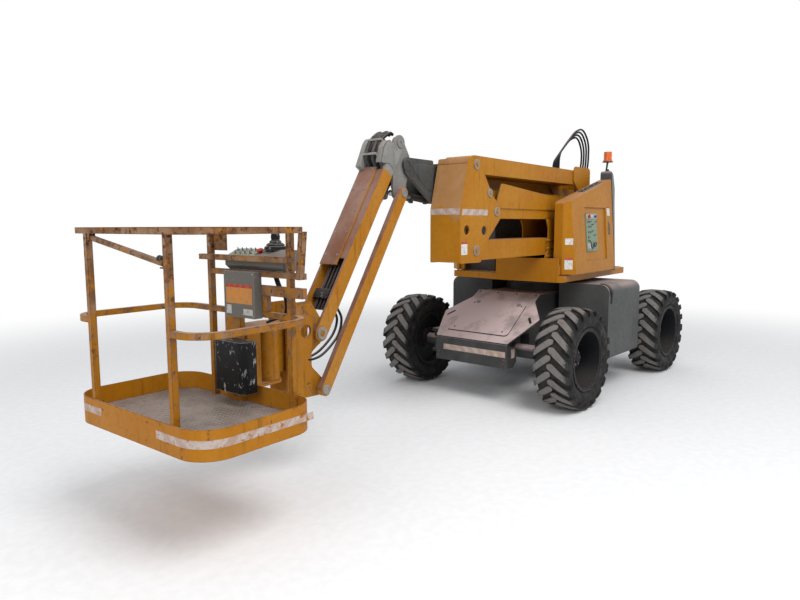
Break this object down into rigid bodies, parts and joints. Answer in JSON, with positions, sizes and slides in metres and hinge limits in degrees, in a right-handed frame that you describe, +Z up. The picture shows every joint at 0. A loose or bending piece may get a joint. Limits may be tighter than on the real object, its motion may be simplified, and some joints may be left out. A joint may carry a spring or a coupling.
{
  "type": "articulating boom lift",
  "caption": "Self-propelled articulating boom lift with stacked parallelogram arms, telescopic boom, jib and turning work basket.",
  "frame": {"origin": "on the ground under the middle of the parked machine", "axes": "+X along the boom towards the basket, +Y to the left of the upper structure, +Z up"},
  "size_m": [7.0434, 2.4331, 2.9588],
  "materials": {
    "paint_yellow": "worn orange-yellow paint",
    "paint_dark_grey": "dusty dark grey paint",
    "paint_mid_grey": "dusty mid grey paint",
    "paint_light_grey": "worn light grey paint",
    "tyre": "black rubber with grey dust",
    "rim": "dark painted steel",
    "rod_chrome": "polished rod",
    "cast": "dark casting",
    "hose": "black hose",
    "beacon": "amber lens",
    "panel": "pale green panel",
    "console": "grey housing",
    "black_box": "scuffed black plastic"
  },
  "bodies": {
    "chassis": {"chassis_frame": "paint_dark_grey", "slew_ring": "cast", "hoods": "paint_dark_grey", "bumpers": "paint_dark_grey", "side_boxes": "paint_mid_grey", "axle_front": "paint_dark_grey", "axle_rear": "paint_dark_grey"},
    "knuckle_left": {"knuckle_left": "paint_dark_grey"},
    "knuckle_right": {"knuckle_right": "paint_dark_grey"},
    "wheel_front_left": {"tyre_front_left": "tyre", "rim_front_left": "rim"},
    "wheel_front_right": {"tyre_front_right": "tyre", "rim_front_right": "rim"},
    "wheel_rear_left": {"tyre_rear_left": "tyre", "rim_rear_left": "rim"},
    "wheel_rear_right": {"tyre_rear_right": "tyre", "rim_rear_right": "rim"},
    "turret": {"turret_deck": "paint_yellow", "turret_uprights": "paint_yellow", "counterweight": "cast", "rear_covers": "paint_mid_grey", "beacon": "beacon", "engine_block": "cast"},
    "cover_left": {"cover_left": "paint_yellow", "control_panel": "panel"},
    "cover_right": {"cover_right": "paint_yellow"},
    "lower_arm": {"lower_arm": "paint_yellow"},
    "lower_tie": {"lower_tie": "paint_yellow"},
    "front_pylon": {"front_pylon": "paint_yellow"},
    "upper_arm": {"upper_arm": "paint_yellow"},
    "upper_tie": {"upper_tie": "paint_yellow"},
    "rear_knuckle": {"rear_knuckle": "paint_yellow", "boom_hoses": "hose"},
    "arm_ram_barrel": {"arm_ram_barrel": "cast"},
    "arm_ram_rod": {"arm_ram_rod": "rod_chrome"},
    "boom_outer": {"boom_outer": "paint_yellow"},
    "boom_inner": {"boom_inner": "paint_dark_grey"},
    "boom_ram_barrel": {"boom_ram_barrel": "cast"},
    "boom_ram_rod": {"boom_ram_rod": "rod_chrome"},
    "level_ram_barrel": {"level_ram_barrel": "cast"},
    "level_ram_rod": {"level_ram_rod": "rod_chrome"},
    "jib_head": {"jib_head": "paint_light_grey"},
    "jib_arm": {"jib_arm": "paint_yellow", "jib_hoses": "hose"},
    "jib_tie": {"jib_tie": "paint_yellow"},
    "jib_ram_barrel": {"jib_ram_barrel": "cast"},
    "jib_ram_rod": {"jib_ram_rod": "rod_chrome"},
    "basket_support": {"basket_support": "paint_yellow"},
    "basket": {"basket_carrier": "paint_yellow", "basket_tray": "paint_yellow", "basket_rails": "paint_yellow", "console": "console", "grey_box": "paint_light_grey", "document_box": "black_box"},
    "entry_bar": {"entry_bar": "paint_yellow"}
  },
  "joints": [
    {"name": "steer_left", "type": "hinge", "parent": "chassis", "child": "knuckle_left", "pos_m": [-0.66732, 0.65167, 0.502], "axis": [0, 0, 1], "range_deg": [-30, 30]},
    {"name": "steer_right", "type": "hinge", "parent": "chassis", "child": "knuckle_right", "pos_m": [-0.72595, -0.7471, 0.502], "axis": [0, 0, 1], "range_deg": [-31, 31]},
    {"name": "roll_front_left", "type": "hinge", "parent": "knuckle_left", "child": "wheel_front_left", "pos_m": [-0.65621, 0.91694, 0.502], "axis": [0.0419, 0.9991, 0], "continuous": true},
    {"name": "roll_front_right", "type": "hinge", "parent": "knuckle_right", "child": "wheel_front_right", "pos_m": [-0.73707, -1.01237, 0.502], "axis": [0.0419, 0.9991, 0], "continuous": true},
    {"name": "roll_rear_left", "type": "hinge", "parent": "chassis", "child": "wheel_rear_left", "pos_m": [-2.93321, 1.01237, 0.502], "axis": [0.0419, 0.9991, 0], "continuous": true},
    {"name": "roll_rear_right", "type": "hinge", "parent": "chassis", "child": "wheel_rear_right", "pos_m": [-3.01407, -0.91694, 0.502], "axis": [0.0419, 0.9991, 0], "continuous": true},
    {"name": "slew", "type": "hinge", "parent": "chassis", "child": "turret", "pos_m": [-1.83514, 0, 1.222], "axis": [0, 0, 1], "continuous": true},
    {"name": "open_cover_left", "type": "hinge", "parent": "turret", "child": "cover_left", "pos_m": [-0.87914, 0.64, 1.35], "axis": [0, 0, -1], "range_deg": [0, 75]},
    {"name": "open_cover_right", "type": "hinge", "parent": "turret", "child": "cover_right", "pos_m": [-0.95914, -0.64, 1.35], "axis": [0, 0, 1], "range_deg": [0, 75]},
    {"name": "raise_arms", "type": "hinge", "parent": "turret", "child": "lower_arm", "pos_m": [-2.28514, 0.345, 1.592], "axis": [0, -1, 0], "range_deg": [0, 70]},
    {"name": "swing_lower_tie", "type": "hinge", "parent": "turret", "child": "lower_tie", "pos_m": [-2.63114, 0.345, 1.935], "axis": [0, -1, 0], "range_deg": [0, 71]},
    {"name": "swing_pylon", "type": "hinge", "parent": "lower_arm", "child": "front_pylon", "pos_m": [0.49186, 0.345, 1.592], "axis": [0, -1, 0], "range_deg": [-71, 0]},
    {"name": "swing_upper_arm", "type": "hinge", "parent": "front_pylon", "child": "upper_arm", "pos_m": [0.49786, 0.345, 2.335], "axis": [0, -1, 0], "range_deg": [-71, 0]},
    {"name": "swing_upper_tie", "type": "hinge", "parent": "front_pylon", "child": "upper_tie", "pos_m": [0.26786, 0.345, 2.1], "axis": [0, -1, 0], "range_deg": [-71, 0]},
    {"name": "swing_knuckle", "type": "hinge", "parent": "upper_arm", "child": "rear_knuckle", "pos_m": [-1.69214, 0.345, 2.335], "axis": [0, -1, 0], "range_deg": [0, 71]},
    {"name": "swing_arm_ram", "type": "hinge", "parent": "turret", "child": "arm_ram_barrel", "pos_m": [-2.37714, 0.345, 1.391], "axis": [0, -1, 0], "range_deg": [0, 46.74]},
    {"name": "extend_arm_ram", "type": "slide", "parent": "arm_ram_barrel", "child": "arm_ram_rod", "axis": [0.7759, 0, 0.6309], "range_m": [0, 0.5669]},
    {"name": "raise_boom", "type": "hinge", "parent": "rear_knuckle", "child": "boom_outer", "pos_m": [-2.31514, 0.05, 2.215], "axis": [0, -1, 0], "range_deg": [0, 60]},
    {"name": "telescope", "type": "slide", "parent": "boom_outer", "child": "boom_inner", "axis": [1, 0, 0], "range_m": [0, 2.2]},
    {"name": "swing_boom_ram", "type": "hinge", "parent": "rear_knuckle", "child": "boom_ram_barrel", "pos_m": [-2.13514, 0.05, 1.8], "axis": [0, -1, 0], "range_deg": [0, 56.8]},
    {"name": "extend_boom_ram", "type": "slide", "parent": "boom_ram_barrel", "child": "boom_ram_rod", "axis": [0.9877, 0, 0.1564], "range_m": [0, 0.4442]},
    {"name": "level_jib_head", "type": "hinge", "parent": "boom_inner", "child": "jib_head", "pos_m": [1.04486, 0.05, 2.31], "axis": [0, -1, 0], "range_deg": [-61, 0]},
    {"name": "swing_level_ram", "type": "hinge", "parent": "boom_inner", "child": "level_ram_barrel", "pos_m": [0.58486, 0.05, 2.03], "axis": [0, -1, 0], "range_deg": [0, 18.02]},
    {"name": "extend_level_ram", "type": "slide", "parent": "level_ram_barrel", "child": "level_ram_rod", "axis": [0.9942, 0, 0.1072], "range_m": [-0.2013, 0]},
    {"name": "raise_jib", "type": "hinge", "parent": "jib_head", "child": "jib_arm", "pos_m": [1.13986, 0.05, 2.483], "axis": [0, -1, 0], "range_deg": [0, 127.5]},
    {"name": "swing_jib_tie", "type": "hinge", "parent": "jib_head", "child": "jib_tie", "pos_m": [1.15586, 0.05, 2.076], "axis": [0, -1, 0], "range_deg": [0, 128.5]},
    {"name": "level_basket", "type": "hinge", "parent": "jib_arm", "child": "basket_support", "pos_m": [2.06079, 0.05, 1.03743], "axis": [0, -1, 0], "range_deg": [-128.5, 0]},
    {"name": "swing_jib_ram", "type": "hinge", "parent": "jib_head", "child": "jib_ram_barrel", "pos_m": [1.10986, 0.05, 2.225], "axis": [0, -1, 0], "range_deg": [0, 120.98]},
    {"name": "extend_jib_ram", "type": "slide", "parent": "jib_ram_barrel", "child": "jib_ram_rod", "axis": [0.6334, 0, -0.7738], "range_m": [0, 0.453]},
    {"name": "turn_basket", "type": "hinge", "parent": "basket_support", "child": "basket", "pos_m": [2.46479, 0.05, 0.76], "axis": [0, 0, 1], "range_deg": [-90, 90]},
    {"name": "lift_entry_bar", "type": "hinge", "parent": "basket", "child": "entry_bar", "pos_m": [3.50049, -0.241, 1.751], "axis": [1, 0, 0], "range_deg": [0, 8]}
  ],
  "couplings": [
    {"joint": "steer_right", "follows": "steer_left", "ratio": 1},
    {"joint": "swing_lower_tie", "follows": "raise_arms", "ratio": 1},
    {"joint": "swing_pylon", "follows": "raise_arms", "ratio": -1},
    {"joint": "swing_upper_arm", "follows": "raise_arms", "ratio": -1},
    {"joint": "swing_upper_tie", "follows": "raise_arms", "ratio": -1},
    {"joint": "swing_knuckle", "follows": "raise_arms", "ratio": 1},
    {"joint": "swing_arm_ram", "follows": "raise_arms", "ratio": 0.65339},
    {"joint": "extend_arm_ram", "follows": "raise_arms", "m_per_rad": 0.46075},
    {"joint": "swing_boom_ram", "follows": "raise_boom", "ratio": 0.92998},
    {"joint": "extend_boom_ram", "follows": "raise_boom", "m_per_rad": 0.4204},
    {"joint": "level_jib_head", "follows": "raise_boom", "ratio": -1},
    {"joint": "swing_level_ram", "follows": "raise_boom", "ratio": 0.28364},
    {"joint": "extend_level_ram", "follows": "raise_boom", "m_per_rad": -0.18845},
    {"joint": "swing_jib_tie", "follows": "raise_jib", "ratio": 1},
    {"joint": "level_basket", "follows": "raise_jib", "ratio": -1},
    {"joint": "swing_jib_ram", "follows": "raise_jib", "ratio": 0.94105},
    {"joint": "extend_jib_ram", "follows": "raise_jib", "m_per_rad": 0.20176}
  ]
}
